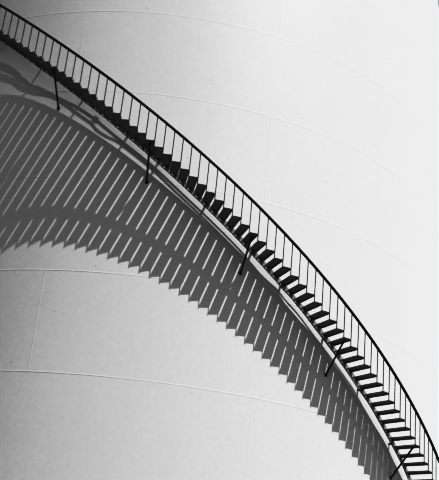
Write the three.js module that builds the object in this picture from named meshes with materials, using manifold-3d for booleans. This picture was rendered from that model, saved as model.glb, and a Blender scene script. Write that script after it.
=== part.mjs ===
// Welded steel storage tank with a helical stair on the outside of its shell.
// Millimetres, +Z up. The tank's axis is the Z axis and the underside of its bottom is at Z = 0.
// Azimuth 0 faces -Y and grows towards +X. Places along the stair are counted in treads:
// place 0 is the back edge of tread 0, and places grow downwards, one for each tread.
import * as THREE from 'three';
import { mergeVertices } from 'three/addons/utils/BufferGeometryUtils.js';
import Module from 'manifold-3d';

const wasm = await Module();
wasm.setup();

// Shell, bottom and roof
const SHELL_RADIUS = 11240;
const COURSE_HEIGHT = 3000;
const COURSE_THICKNESS = [26, 24, 21, 19, 16, 14, 11, 9, 8, 8];
const SHELL_SIDES = 48;
const BOTTOM_THICKNESS = 10;
const BOTTOM_LIP = 60;
const CURB_LEG = 80;
const CURB_THICKNESS = 8;
const ROOF_SLOPE = 1 / 6;
const ROOF_THICKNESS = 8;
const ROOF_OVERHANG = 20;
const SEAT_GAP = 0.3;

// Roof fittings and manway
const VENT_RADIUS = 150;
const VENT_HEIGHT = 320;
const VENT_CAP_RADIUS = 260;
const VENT_CAP_HEIGHT = 90;
const HATCH_RADIUS = 305;
const HATCH_HEIGHT = 180;
const HATCH_COVER_RADIUS = 370;
const HATCH_COVER_THICKNESS = 25;
const HATCH_DISTANCE = 9700;
const MANWAY_RADIUS = 305;
const MANWAY_WALL = 12;
const MANWAY_HEIGHT = 900;
const MANWAY_REACH = 260;
const MANWAY_INSIDE = 60;
const MANWAY_FLANGE_RADIUS = 375;
const MANWAY_FLANGE_THICKNESS = 20;
const MANWAY_PAD_RADIUS = 600;
const MANWAY_PAD_THICKNESS = 20;
const MANWAY_AZIMUTH = THREE.MathUtils.degToRad(-60);
const MANWAY_HOLE_DEPTH = 1000;
const ROUND_SIDES = 16;

// Stair: rise, angle for each tread, and where tread 0 is
const RISE = 200;
const STEP_ANGLE = 0.02258;
const TREAD_0_AZIMUTH = -0.488;
const TREAD_0_TOP = 19700;
const LOWEST_TREAD = 98;
const HIGHEST_TREAD = -51;
const TREADS_PER_FLIGHT = 12;
const FLIGHTS = 12;
const TREAD_CLEARANCE = 1;
const TREAD_THICKNESS = 55;
const STRINGER_RADIUS = 11395;
const STRINGER_THICKNESS = 10;
const STRINGER_DEPTH = 190;
const STRINGER_DROP = 15;
const RAIL_RADIUS = 12140;
const RAIL_HEIGHT = 821;
const RAIL_TUBE_RADIUS = 30;
const RAIL_SIDES = 6;
const ROD_WIDTH = 25;
const BRACKET_SIZE = 60;
const BRACE_TREAD = 5;
const BRACE_WIDTH = 60;
const BRACE_INSET = 110;
const BRACE_FOOT_DROP = 950;
const FOOT_PLATE = [130, 180, 12];
const FOOT_PLACE = 0.6;
const RAIL_JOINT_GAP = 0.7;

// Places of the stubs that hold the stringer off the shell
const BRACKET_PLACES = [
  -48.5, -42.5, -36.5, -30.5, -24.5, -18.5, -12.5, -6.5, -1.8, 4.3, 10.5, 16.6, 20.6,
  26.6, 32.6, 36.6, 42.8, 48.7, 55, 61.3, 67.3, 73.3, 79.3, 85.3, 91.3, 96.3,
];

// How far past the last tread or rod things reach, in treads
const STRINGER_FOOT_RUN = 0.75;
const RAIL_FOOT_RUN = 0.3;
const GROUND_DEPTH = 1000;

// Landing at the top of the stair
const LANDING_LENGTH = 4.4;
const LANDING_THICKNESS = 40;
const LANDING_INNER_RADIUS = 11080;
const LANDING_BRACKET_THICKNESS = 12;
const LANDING_BRACKET_DEPTH = 850;
const LANDING_BRACKET_BITE = 40;
const LANDING_BRACKET_INSET = 60;
const LANDING_BRACKET_PLACES = [0.8, 4];
const CURB_CLEARANCE = 10;
const GUARD_END_RADIUS = 11420;
const GUARD_INSET = 0.1;
const GUARD_RODS = [1, 2, 3];

const SHELL_BASE = BOTTOM_THICKNESS;
const SHELL_TOP = SHELL_BASE + COURSE_HEIGHT * COURSE_THICKNESS.length;
const LANDING_TOP = TREAD_0_TOP + RISE * (1 - HIGHEST_TREAD);
const TREAD_OUTER = RAIL_RADIUS - ROD_WIDTH / 2 - SEAT_GAP;
const STRINGER_HALF_GAP = SEAT_GAP / STRINGER_RADIUS / STEP_ANGLE / 2;
const RAIL_HALF_GAP = RAIL_JOINT_GAP / RAIL_RADIUS / STEP_ANGLE / 2;
const UP = new THREE.Vector3(0, 0, 1);

const shellPaint = { color: 0xd9d9d7, roughness: 0.55, metalness: 0.0 };
const roofPaint = { color: 0xd2d2cf, roughness: 0.6, metalness: 0.0 };
const stairPaint = { color: 0x1c1d1f, roughness: 0.5, metalness: 0.2 };
const fittingPaint = { color: 0xb9babb, roughness: 0.55, metalness: 0.1 };

const tank = new THREE.Group();

function addPiece(name, geometry, paint) {
  const mesh = new THREE.Mesh(geometry, new THREE.MeshStandardMaterial(paint));
  mesh.name = name;
  tank.add(mesh);
}

// A closed geometry with shared vertices and its faces pointing outwards
function closed(geometry) {
  const bare = geometry.clone();
  bare.deleteAttribute('normal');
  bare.deleteAttribute('uv');
  const merged = mergeVertices(bare, 1e-3);
  const place = merged.getAttribute('position');
  const index = merged.getIndex().array;
  const kept = [];
  let volume = 0;
  const a = new THREE.Vector3();
  const b = new THREE.Vector3();
  const c = new THREE.Vector3();
  for (let i = 0; i < index.length; i += 3) {
    const [p, q, r] = [index[i], index[i + 1], index[i + 2]];
    if (p !== q && q !== r && r !== p) {
      a.fromBufferAttribute(place, p);
      b.fromBufferAttribute(place, q);
      c.fromBufferAttribute(place, r);
      volume += a.dot(b.cross(c));
      kept.push(p, q, r);
    }
  }
  if (volume < 0) {
    for (let i = 0; i < kept.length; i += 3) {
      [kept[i], kept[i + 1]] = [kept[i + 1], kept[i]];
    }
  }
  merged.setIndex(kept);
  return merged;
}

function toSolid(geometry) {
  const shape = closed(geometry);
  return new wasm.Manifold(new wasm.Mesh({
    numProp: 3,
    vertProperties: new Float32Array(shape.getAttribute('position').array),
    triVerts: new Uint32Array(shape.getIndex().array),
  }));
}

function toGeometry(solid) {
  const mesh = solid.getMesh();
  const geometry = new THREE.BufferGeometry();
  geometry.setAttribute('position', new THREE.BufferAttribute(mesh.vertProperties, 3));
  geometry.setIndex(new THREE.BufferAttribute(mesh.triVerts, 1));
  return geometry;
}

function joined(solids) {
  return solids.reduce((whole, solid) => whole.add(solid));
}

// A profile of [radius, height] points turned about the tank's axis
function turned(profile, sides) {
  const points = profile.map(([radius, height]) => new THREE.Vector2(radius, height));
  const geometry = new THREE.LatheGeometry(points, sides);
  return geometry.rotateX(Math.PI / 2);
}

// A closed ring has the first point of its profile again at the end
function ring(profile, sides = SHELL_SIDES) {
  return closed(turned([...profile, profile[0]], sides));
}

// A disc or plug has a profile that starts and ends on the axis
function plug(profile, sides = SHELL_SIDES) {
  return closed(turned(profile, sides));
}

function stairAzimuth(place) {
  return TREAD_0_AZIMUTH + place * STEP_ANGLE;
}

function treadTop(tread) {
  return TREAD_0_TOP - RISE * tread;
}

function around(radius, azimuth, height) {
  return new THREE.Vector3(radius * Math.sin(azimuth), -radius * Math.cos(azimuth), height);
}

// Turns and moves a geometry drawn with +X outwards and +Y along the stair to its azimuth
function placed(geometry, azimuth, radius, height) {
  const out = around(1, azimuth, 0);
  const along = new THREE.Vector3(Math.cos(azimuth), Math.sin(azimuth), 0);
  const frame = new THREE.Matrix4().makeBasis(out, along, UP);
  frame.setPosition(around(radius, azimuth, height));
  return geometry.applyMatrix4(frame);
}

// A closed bar through a row of sections that all have the same number of corners
function loft(sections) {
  const corners = sections[0].length;
  const flat = sections.flat().flatMap((point) => [point.x, point.y, point.z]);
  const index = [];
  for (let s = 0; s + 1 < sections.length; s += 1) {
    for (let i = 0; i < corners; i += 1) {
      const next = (i + 1) % corners;
      const [a, b] = [s * corners + i, s * corners + next];
      index.push(a, b, b + corners, a, b + corners, a + corners);
    }
  }
  const last = (sections.length - 1) * corners;
  for (let i = 1; i + 1 < corners; i += 1) {
    index.push(0, i + 1, i, last, last + i, last + i + 1);
  }
  const geometry = new THREE.BufferGeometry();
  geometry.setAttribute('position', new THREE.BufferAttribute(new Float32Array(flat), 3));
  geometry.setIndex(index);
  return geometry;
}

// A round bar along a row of points, with mitred bends
function roundBar(points, radius, sides) {
  const sections = points.map((point, i) => {
    const before = points[Math.max(i - 1, 0)];
    const after = points[Math.min(i + 1, points.length - 1)];
    const along = after.clone().sub(before).normalize();
    const side = new THREE.Vector3().crossVectors(along, UP).normalize();
    const top = new THREE.Vector3().crossVectors(side, along);
    return Array.from({ length: sides }, (_, corner) => {
      const turn = (corner / sides) * 2 * Math.PI;
      return point.clone()
        .addScaledVector(side, radius * Math.cos(turn))
        .addScaledVector(top, radius * Math.sin(turn));
    });
  });
  return loft(sections);
}

// A square bar between two points, with one pair of its faces upright
function squareBar(from, to, width) {
  const along = to.clone().sub(from).normalize();
  const guide = Math.abs(along.z) > 0.99 ? around(1, Math.atan2(from.x, -from.y), 0) : UP;
  const side = new THREE.Vector3().crossVectors(along, guide).normalize();
  const top = new THREE.Vector3().crossVectors(side, along);
  const half = width / 2;
  const corners = [[-half, -half], [half, -half], [half, half], [-half, half]];
  return loft([from, to].map((end) => corners.map(([s, t]) => end.clone()
    .addScaledVector(side, s)
    .addScaledVector(top, t))));
}

// What touches the shell is cut to its flats, a seat gap away from them
const shellCutter = toSolid(plug([
  [0, -100],
  [SHELL_RADIUS + SEAT_GAP, -100],
  [SHELL_RADIUS + SEAT_GAP, SHELL_TOP],
  [0, SHELL_TOP],
]));

const roofApex = SHELL_TOP + ROOF_THICKNESS + (SHELL_RADIUS + ROOF_OVERHANG) * ROOF_SLOPE;
const roofCutter = toSolid(plug([
  [0, 0],
  [SHELL_RADIUS + ROOF_OVERHANG, 0],
  [SHELL_RADIUS + ROOF_OVERHANG, SHELL_TOP + ROOF_THICKNESS + SEAT_GAP],
  [0, roofApex + SEAT_GAP],
]));

function makeBottom() {
  const edge = SHELL_RADIUS + BOTTOM_LIP;
  return plug([[0, 0], [edge, 0], [edge, BOTTOM_THICKNESS], [0, BOTTOM_THICKNESS]]);
}

function makeCourse(number) {
  const inner = SHELL_RADIUS - COURSE_THICKNESS[number];
  const low = SHELL_BASE + COURSE_HEIGHT * number;
  const high = low + COURSE_HEIGHT;
  return ring([[inner, low], [SHELL_RADIUS, low], [SHELL_RADIUS, high], [inner, high]]);
}

function makeCurb() {
  const inner = SHELL_RADIUS + SEAT_GAP;
  const low = SHELL_TOP - CURB_LEG;
  const shelf = SHELL_TOP - CURB_THICKNESS;
  return ring([
    [inner, low],
    [inner + CURB_THICKNESS, low],
    [inner + CURB_THICKNESS, shelf],
    [inner + CURB_LEG, shelf],
    [inner + CURB_LEG, SHELL_TOP],
    [inner, SHELL_TOP],
  ]);
}

function makeRoof() {
  const edge = SHELL_RADIUS + ROOF_OVERHANG;
  const seat = SHELL_RADIUS - 2 * ROOF_THICKNESS;
  return plug([
    [0, roofApex - ROOF_THICKNESS],
    [seat, SHELL_TOP],
    [edge, SHELL_TOP],
    [edge, SHELL_TOP + ROOF_THICKNESS],
    [0, roofApex],
  ]);
}

function makeVent() {
  const low = roofApex - VENT_RADIUS;
  const neck = roofApex + VENT_HEIGHT;
  const lip = neck - VENT_CAP_HEIGHT;
  const vent = toSolid(plug([
    [0, low],
    [VENT_RADIUS, low],
    [VENT_RADIUS, lip],
    [VENT_CAP_RADIUS, lip],
    [VENT_CAP_RADIUS, lip + VENT_CAP_HEIGHT / 3],
    [VENT_RADIUS, neck],
    [0, neck],
  ], ROUND_SIDES));
  return toGeometry(vent.subtract(roofCutter));
}

function makeHatch(azimuth) {
  const roofThere = roofApex - HATCH_DISTANCE * ROOF_SLOPE;
  const drum = plug([
    [0, -HATCH_RADIUS],
    [HATCH_RADIUS, -HATCH_RADIUS],
    [HATCH_RADIUS, HATCH_HEIGHT],
    [HATCH_COVER_RADIUS, HATCH_HEIGHT],
    [HATCH_COVER_RADIUS, HATCH_HEIGHT + HATCH_COVER_THICKNESS],
    [0, HATCH_HEIGHT + HATCH_COVER_THICKNESS],
  ], ROUND_SIDES);
  const standing = placed(drum, azimuth, HATCH_DISTANCE, roofThere);
  return toGeometry(toSolid(standing).subtract(roofCutter));
}

// Turns a profile drawn about +Z so that it points outwards from the shell at the manway
function towardsManway(geometry, radius) {
  geometry.rotateY(Math.PI / 2);
  return placed(geometry, MANWAY_AZIMUTH, radius, MANWAY_HEIGHT);
}

function manwayHole() {
  const radius = MANWAY_RADIUS + SEAT_GAP;
  const half = MANWAY_HOLE_DEPTH / 2;
  const rod = plug([[0, -half], [radius, -half], [radius, half], [0, half]], ROUND_SIDES);
  return toSolid(towardsManway(rod, SHELL_RADIUS));
}

function makeManwayNeck() {
  const inner = MANWAY_RADIUS - MANWAY_WALL;
  const flangeBack = MANWAY_REACH - MANWAY_FLANGE_THICKNESS;
  const neck = toSolid(towardsManway(ring([
    [inner, -MANWAY_INSIDE],
    [MANWAY_RADIUS, -MANWAY_INSIDE],
    [MANWAY_RADIUS, flangeBack],
    [MANWAY_FLANGE_RADIUS, flangeBack],
    [MANWAY_FLANGE_RADIUS, MANWAY_REACH],
    [inner, MANWAY_REACH],
  ], ROUND_SIDES), SHELL_RADIUS));
  const pad = toSolid(towardsManway(ring([
    [MANWAY_RADIUS - MANWAY_WALL / 2, -MANWAY_PAD_THICKNESS],
    [MANWAY_PAD_RADIUS, -MANWAY_PAD_THICKNESS],
    [MANWAY_PAD_RADIUS, MANWAY_PAD_THICKNESS],
    [MANWAY_RADIUS - MANWAY_WALL / 2, MANWAY_PAD_THICKNESS],
  ], ROUND_SIDES), SHELL_RADIUS));
  return toGeometry(neck.add(pad.subtract(shellCutter)));
}

function makeManwayCover() {
  const back = MANWAY_REACH + SEAT_GAP;
  const front = back + MANWAY_FLANGE_THICKNESS;
  const disc = plug([
    [0, back],
    [MANWAY_FLANGE_RADIUS, back],
    [MANWAY_FLANGE_RADIUS, front],
    [0, front],
  ], ROUND_SIDES);
  return closed(towardsManway(disc, SHELL_RADIUS));
}

// Lower edge of the stringer at a place on the stair
function stringerLow(place) {
  return treadTop(place) - STRINGER_DROP;
}

function makeStringer(from, to) {
  const inner = STRINGER_RADIUS - STRINGER_THICKNESS;
  const steps = Math.round(to - from);
  const sections = Array.from({ length: steps + 1 }, (_, i) => {
    const place = from + ((to - from) * i) / steps;
    const azimuth = stairAzimuth(place);
    const low = stringerLow(place);
    return [
      around(inner, azimuth, low),
      around(STRINGER_RADIUS, azimuth, low),
      around(STRINGER_RADIUS, azimuth, low + STRINGER_DEPTH),
      around(inner, azimuth, low + STRINGER_DEPTH),
    ];
  });
  return loft(sections);
}

// A slightly tapered plate, as deep at each radius as the step between two treads
function makeTread(tread) {
  const inner = STRINGER_RADIUS - STRINGER_THICKNESS / 2;
  const outer = TREAD_OUTER * Math.cos(STEP_ANGLE / 2);
  const plate = loft([inner, outer].map((radius) => {
    const half = (radius * STEP_ANGLE) / 2 - TREAD_CLEARANCE;
    return [
      new THREE.Vector3(radius, -half, -TREAD_THICKNESS),
      new THREE.Vector3(radius, half, -TREAD_THICKNESS),
      new THREE.Vector3(radius, half, 0),
      new THREE.Vector3(radius, -half, 0),
    ];
  }));
  return placed(plate, stairAzimuth(tread + 0.5), 0, treadTop(tread));
}

// A stub that holds the stringer off the shell
function makeBracket(place) {
  const reach = STRINGER_RADIUS - STRINGER_THICKNESS / 2 - SHELL_RADIUS + BRACKET_SIZE;
  const stub = new THREE.BoxGeometry(reach, BRACKET_SIZE, BRACKET_SIZE);
  stub.translate(-reach / 2, 0, 0);
  const middle = stringerLow(place) + STRINGER_DEPTH / 2;
  const outer = STRINGER_RADIUS - STRINGER_THICKNESS / 2;
  return placed(stub, stairAzimuth(place), outer, middle);
}

// A strut from under the outer end of a tread back down to the shell
function makeBrace(tread) {
  const azimuth = stairAzimuth(tread + 0.5);
  const top = treadTop(tread) - TREAD_THICKNESS / 2;
  const from = around(TREAD_OUTER - BRACE_INSET, azimuth, top);
  const to = around(SHELL_RADIUS - BRACE_WIDTH, azimuth, treadTop(tread) - BRACE_FOOT_DROP);
  return squareBar(from, to, BRACE_WIDTH);
}

function makeFlight(number) {
  const first = LOWEST_TREAD - 2 - TREADS_PER_FLIGHT * number;
  const bottom = number === 0 ? LOWEST_TREAD : first;
  const top = number === FLIGHTS - 1 ? HIGHEST_TREAD : first - TREADS_PER_FLIGHT + 1;
  const lowEnd = number === 0 ? bottom + STRINGER_FOOT_RUN : bottom + 1 - STRINGER_HALF_GAP;
  const highEnd = top + STRINGER_HALF_GAP;
  const solids = [toSolid(makeStringer(highEnd, lowEnd))];
  for (let tread = top; tread <= bottom; tread += 1) {
    solids.push(toSolid(makeTread(tread)));
  }
  for (const place of BRACKET_PLACES) {
    if (place > top && place < bottom + 1) {
      solids.push(toSolid(makeBracket(place)));
    }
  }
  solids.push(toSolid(makeBrace(first - BRACE_TREAD)));
  let flight = joined(solids);
  if (number === 0) {
    const plate = new THREE.BoxGeometry(...FOOT_PLATE);
    const foot = placed(plate, stairAzimuth(bottom + FOOT_PLACE), STRINGER_RADIUS, FOOT_PLATE[2] / 2);
    flight = flight.add(toSolid(foot));
    const ground = new THREE.BoxGeometry(4 * SHELL_RADIUS, 4 * SHELL_RADIUS, GROUND_DEPTH);
    flight = flight.subtract(toSolid(ground.translate(0, 0, -GROUND_DEPTH / 2)));
  }
  return toGeometry(flight.subtract(shellCutter));
}

// The handrail follows the treads' noses and runs level along the landing
function railCentre(place) {
  const height = Math.min(treadTop(place - 1), LANDING_TOP) + RAIL_HEIGHT;
  return around(RAIL_RADIUS, stairAzimuth(place), height);
}

// An upright rod from the handrail past one tread's nose to the back corner of the next
function makeRod(place) {
  const azimuth = stairAzimuth(place);
  const foot = Math.max(treadTop(place) - TREAD_THICKNESS, 0);
  return squareBar(around(RAIL_RADIUS, azimuth, foot), railCentre(place), ROD_WIDTH);
}

function makeHandrail(number) {
  const low = LOWEST_TREAD - 1 - TREADS_PER_FLIGHT * number;
  const bottom = number === 0 ? LOWEST_TREAD + 1 : low - 1;
  const top = number === FLIGHTS - 1 ? HIGHEST_TREAD : low - TREADS_PER_FLIGHT;
  const lowEnd = number === 0 ? bottom + RAIL_FOOT_RUN : bottom + 0.5 - RAIL_HALF_GAP;
  const places = [top - 0.5 + RAIL_HALF_GAP];
  for (let place = top; place <= bottom; place += 1) {
    places.push(place);
  }
  places.push(lowEnd);
  const solids = [toSolid(roundBar(places.map(railCentre), RAIL_TUBE_RADIUS, RAIL_SIDES))];
  for (let place = top; place <= bottom; place += 1) {
    solids.push(toSolid(makeRod(place)));
  }
  return toGeometry(joined(solids));
}

// A flat piece of the landing's arc between two radii, drawn over a few places
function arcSlab(from, to, inner, outer, low, high) {
  const steps = Math.ceil(to - from);
  return loft(Array.from({ length: steps + 1 }, (_, i) => {
    const azimuth = stairAzimuth(from + ((to - from) * i) / steps);
    return [
      around(inner, azimuth, low),
      around(outer, azimuth, low),
      around(outer, azimuth, high),
      around(inner, azimuth, high),
    ];
  }));
}

function makeLandingBracket(place) {
  const wall = SHELL_RADIUS - LANDING_BRACKET_BITE;
  const shelf = SHELL_RADIUS + CURB_LEG + CURB_CLEARANCE;
  const tip = TREAD_OUTER - LANDING_BRACKET_INSET;
  const under = SHELL_TOP - CURB_LEG - CURB_CLEARANCE;
  const top = LANDING_TOP - LANDING_THICKNESS / 2;
  const profile = new THREE.Shape([
    [wall, under],
    [wall, SHELL_TOP - LANDING_BRACKET_DEPTH],
    [tip, top - LANDING_THICKNESS],
    [tip, top],
    [shelf, top],
    [shelf, under],
  ].map(([radius, height]) => new THREE.Vector2(radius, height)));
  const plate = new THREE.ExtrudeGeometry(profile, {
    depth: LANDING_BRACKET_THICKNESS,
    bevelEnabled: false,
  });
  plate.translate(0, 0, -LANDING_BRACKET_THICKNESS / 2).rotateX(Math.PI / 2);
  return placed(plate, stairAzimuth(place), 0, 0);
}

const landingNear = HIGHEST_TREAD - STRINGER_HALF_GAP;
const landingFar = HIGHEST_TREAD - LANDING_LENGTH;

function makeLandingFloor() {
  const low = LANDING_TOP - LANDING_THICKNESS;
  const slab = arcSlab(landingFar, landingNear, LANDING_INNER_RADIUS, TREAD_OUTER, low, LANDING_TOP);
  const brackets = LANDING_BRACKET_PLACES.map((step) => {
    return toSolid(makeLandingBracket(HIGHEST_TREAD - step)).subtract(shellCutter);
  });
  return toGeometry(joined([toSolid(slab), ...brackets]));
}

function makeLandingGuard() {
  const far = landingFar + GUARD_INSET;
  const rodPlaces = GUARD_RODS.map((step) => HIGHEST_TREAD - step).concat(far);
  const path = [HIGHEST_TREAD - 0.5 - RAIL_HALF_GAP, ...rodPlaces].map(railCentre);
  const corner = railCentre(far);
  const end = around(GUARD_END_RADIUS, stairAzimuth(far), corner.z);
  const bars = [roundBar(path, RAIL_TUBE_RADIUS, RAIL_SIDES)];
  bars.push(roundBar([corner, end], RAIL_TUBE_RADIUS, RAIL_SIDES));
  for (const place of rodPlaces) {
    const foot = around(RAIL_RADIUS, stairAzimuth(place), LANDING_TOP - LANDING_THICKNESS);
    bars.push(squareBar(foot, railCentre(place), ROD_WIDTH));
  }
  for (const radius of [GUARD_END_RADIUS + ROD_WIDTH, (GUARD_END_RADIUS + RAIL_RADIUS) / 2]) {
    const foot = around(radius, stairAzimuth(far), LANDING_TOP + SEAT_GAP);
    bars.push(squareBar(foot, foot.clone().setZ(corner.z), ROD_WIDTH));
  }
  return toGeometry(joined(bars.map(toSolid)));
}

function twoDigits(number) {
  return String(number).padStart(2, '0');
}

addPiece('bottom_plate', makeBottom(), fittingPaint);
COURSE_THICKNESS.forEach((_, number) => {
  let course = makeCourse(number);
  if (number === 0) {
    course = toGeometry(toSolid(course).subtract(manwayHole()));
  }
  addPiece(`shell_course_${twoDigits(number + 1)}`, course, shellPaint);
});
addPiece('curb_angle', makeCurb(), shellPaint);
addPiece('roof_plate', makeRoof(), roofPaint);
addPiece('roof_vent', makeVent(), fittingPaint);
addPiece('roof_hatch', makeHatch(stairAzimuth(landingFar + 2)), fittingPaint);
addPiece('manway_neck', makeManwayNeck(), fittingPaint);
addPiece('manway_cover', makeManwayCover(), fittingPaint);
for (let number = 0; number < FLIGHTS; number += 1) {
  addPiece(`stair_flight_${twoDigits(number + 1)}`, makeFlight(number), stairPaint);
  addPiece(`handrail_${twoDigits(number + 1)}`, makeHandrail(number), stairPaint);
}
addPiece('landing_floor', makeLandingFloor(), stairPaint);
addPiece('landing_guard', makeLandingGuard(), stairPaint);

export default tank;
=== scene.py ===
"""Looks of a welded steel storage tank with a helical stair round its shell."""
from contextlib import contextmanager
from math import cos, pi, radians, sin
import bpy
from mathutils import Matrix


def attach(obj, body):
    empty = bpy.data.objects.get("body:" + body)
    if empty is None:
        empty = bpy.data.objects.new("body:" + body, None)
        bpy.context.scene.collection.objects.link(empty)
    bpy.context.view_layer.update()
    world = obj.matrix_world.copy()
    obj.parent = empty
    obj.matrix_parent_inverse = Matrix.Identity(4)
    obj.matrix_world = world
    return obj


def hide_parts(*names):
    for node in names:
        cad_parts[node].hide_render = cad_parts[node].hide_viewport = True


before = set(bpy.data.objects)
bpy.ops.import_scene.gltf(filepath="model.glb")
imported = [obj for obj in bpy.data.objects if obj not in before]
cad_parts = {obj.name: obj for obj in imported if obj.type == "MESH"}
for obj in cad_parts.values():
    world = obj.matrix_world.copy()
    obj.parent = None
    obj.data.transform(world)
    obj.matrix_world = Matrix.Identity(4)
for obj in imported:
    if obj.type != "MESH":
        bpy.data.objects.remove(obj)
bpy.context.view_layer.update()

from types import SimpleNamespace as Sizes

import bmesh
import bpy
from mathutils import Matrix, Vector

# Shell, in metres, with the courses listed from the lowest up
SHELL_RADIUS = 11.24
COURSE_HEIGHT = 3.0
COURSE_THICKNESS = [0.026, 0.024, 0.021, 0.019, 0.016, 0.014, 0.011, 0.009, 0.008, 0.008]
FIRST_SEAM_DEGREES = [-15.8, -16, 16.2, -15.8, 28, 15.7, -16.3, 16, -16, 16]
PLATES_PER_COURSE = 6
ROUND_STEPS = 288

# Weld beads, how far beads and pads reach into the plate that carries them, and small distances
BEAD_WIDTH = 0.03
BEAD_HEIGHT = 0.002
BEAD_CREST_SHARE = 0.6
FILLET_SIZE = 0.012
SINK = 0.002
MERGE_DISTANCE = 1e-5
LEAST_RADIUS = 1e-6
GROUND_CUT = 0.001
SEAT_GAP = 0.0003

# Bottom, curb and roof
BOTTOM_THICKNESS = 0.01
BOTTOM_LIP = 0.06
BOTTOM_BEVEL = 0.003
CURB_LEG = 0.08
CURB_THICKNESS = 0.008
ROOF = Sizes(
    slope=1 / 6, thickness=0.008, overhang=0.02, sectors=24, seam_turn=radians(7), seam_inset=0.005,
    lap_rings=[3.2, 7.2], lap_width=0.03, lap_height=0.006)

# Stair: place 0 is the back edge of tread 0, and places grow downwards, one for each tread
RISE = 0.2
STEP_ANGLE = 0.02258
TREAD_0_AZIMUTH = -0.488
TREAD_0_TOP = 19.7
LOWEST_TREAD = 98
HIGHEST_TREAD = -51
FLIGHTS = 12
TREADS_PER_FLIGHT = 12
EXTRA_LOW_TREADS = 2
TREAD_PLATE = 0.006
TREAD_FOLD = 0.05
TREAD_BEND = 0.0036
TREAD_CLEARANCE = 0.001
GRIP = Sizes(
    rows=13, column_spacing=0.08, stagger=0.012, tilt=0.6, length=0.036, width=0.008, height=0.0022,
    top_share=0.7)
CLEAT = Sizes(length=0.06, sides=(0.03, 0.09), drop=0.012)
STRINGER = Sizes(
    radius=11.405, thickness=0.01, depth=0.19, drop=0.025, hole_half_length=0.05, hole_half_height=0.02,
    hole_place=0.33, hole_height=0.046)
STAIR_FOOT = Sizes(half_size=(0.065, 0.09), thickness=0.012, place=0.6)
RAIL_RADIUS = 12.14
RAIL_HEIGHT = 0.821
RAIL_TUBE_RADIUS = 0.04
RAIL_SIDES = 16
RAIL_OVERRUN = 0.5
RAIL_FOOT_OVERRUN = 0.3
ROD_RADIUS = 0.0125
ROD_SIDES = 8

# Stubs between shell and stringer, and the knee braces, one to a flight
BRACKET = Sizes(size=0.06, bolt_size=0.008, bolt_side=0.016, bolt_rise=0.012)
BRACKET_PLACES = [
    -48.5, -42.5, -36.5, -30.5, -24.5, -18.5, -12.5, -6.5, -1.8, 4.3, 10.5, 16.6, 20.6,
    26.6, 32.6, 36.6, 42.8, 48.7, 55, 61.3, 67.3, 73.3, 79.3, 85.3, 91.3, 96.3]
ANGLE_THICKNESS = 0.006
BRACE = Sizes(
    tread=7, inset=0.11, foot_drop=0.93, radius=0.026, pad_half_width=0.042, pad_ends=(-0.045, 0.06),
    pad_thickness=0.008)

# Landing and its guard
LANDING = Sizes(
    length=4.4, thickness=0.04, plate=0.006, steps=10, inner_radius=11.08, end_inset=0.02,
    end_half_turn=0.0003, bracket_places=[0.8, 4.0], bracket_depth=0.85, bracket_thickness=0.012,
    bracket_gap=0.01, bracket_inset=0.06, near_gap=0.001, end_drop=0.001)
GUARD = Sizes(
    end_radius=11.42, inset=0.1, steps=8, rods=[1, 2, 3], bend=0.08,
    bend_shares=[(1, 0), (0.35, 0.05), (0.12, 0.12), (0.05, 0.35), (0, 1)])

# Two thin conduits clipped under the stubs: places on the stair with the distance from the shell,
# and how far the conduits run below the line of the noses
CONDUIT_RADIUS = 0.012
UPPER_CONDUIT = [
    (-50, 0.06), (-26, 0.07), (0, 0.062), (1.2, 0.066), (3.3, 0.084), (4.3, 0.093), (5.1, 0.085),
    (7.8, 0.08), (8.7, 0.073), (10.5, 0.06), (12.4, 0.055), (16, 0.062), (20, 0.057), (25, 0.069),
    (31, 0.071), (34.3, 0.097), (36.5, 0.067), (37.8, 0.076), (38.8, 0.066), (42, 0.082), (46, 0.077),
    (48, 0.07), (50, 0.105), (52, 0.11), (54, 0.09), (57, 0.12), (61, 0.07), (80, 0.08), (98, 0.065)]
LOWER_CONDUIT = [
    (-50, 0.09), (-26, 0.1), (0, 0.088), (1.7, 0.092), (3.6, 0.109), (4.5, 0.108), (5.3, 0.106),
    (6.1, 0.094), (6.9, 0.084), (7.8, 0.077), (8.8, 0.08), (10.7, 0.086), (12.6, 0.086), (13.5, 0.104),
    (14.5, 0.1), (16, 0.076), (20, 0.072), (24, 0.091), (30, 0.097), (36.5, 0.083), (38, 0.123),
    (42, 0.084), (45, 0.096), (48, 0.088), (50, 0.124), (54, 0.109), (57, 0.124), (61, 0.095),
    (80, 0.1), (98, 0.09)]
UPPER_CONDUIT_DROP = 0.15
LOWER_CONDUIT_DROP = 0.19
COUPLING_RADIUS = 0.026
COUPLING_PLACES = (12.5, 13)

# Manway
MANWAY = Sizes(
    azimuth=radians(-60), height=0.9, radius=0.305, wall=0.012, reach=0.26, reach_inside=0.06,
    flange_radius=0.375, flange_thickness=0.02, weld=0.008, bevel=0.003, pad_radius=0.6,
    pad_thickness=0.02, pad_bevel=(0.006, 0.008), face_insets=(0.02, 0.03), bolts=20,
    bolt_size=(0.013, 0.012), bolt_inset=0.033, first_bolt=0.1, grip_half_size=(0.008, 0.1),
    grip_heights=(-0.006, 0.004))
FITTING_STEPS = 64

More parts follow.
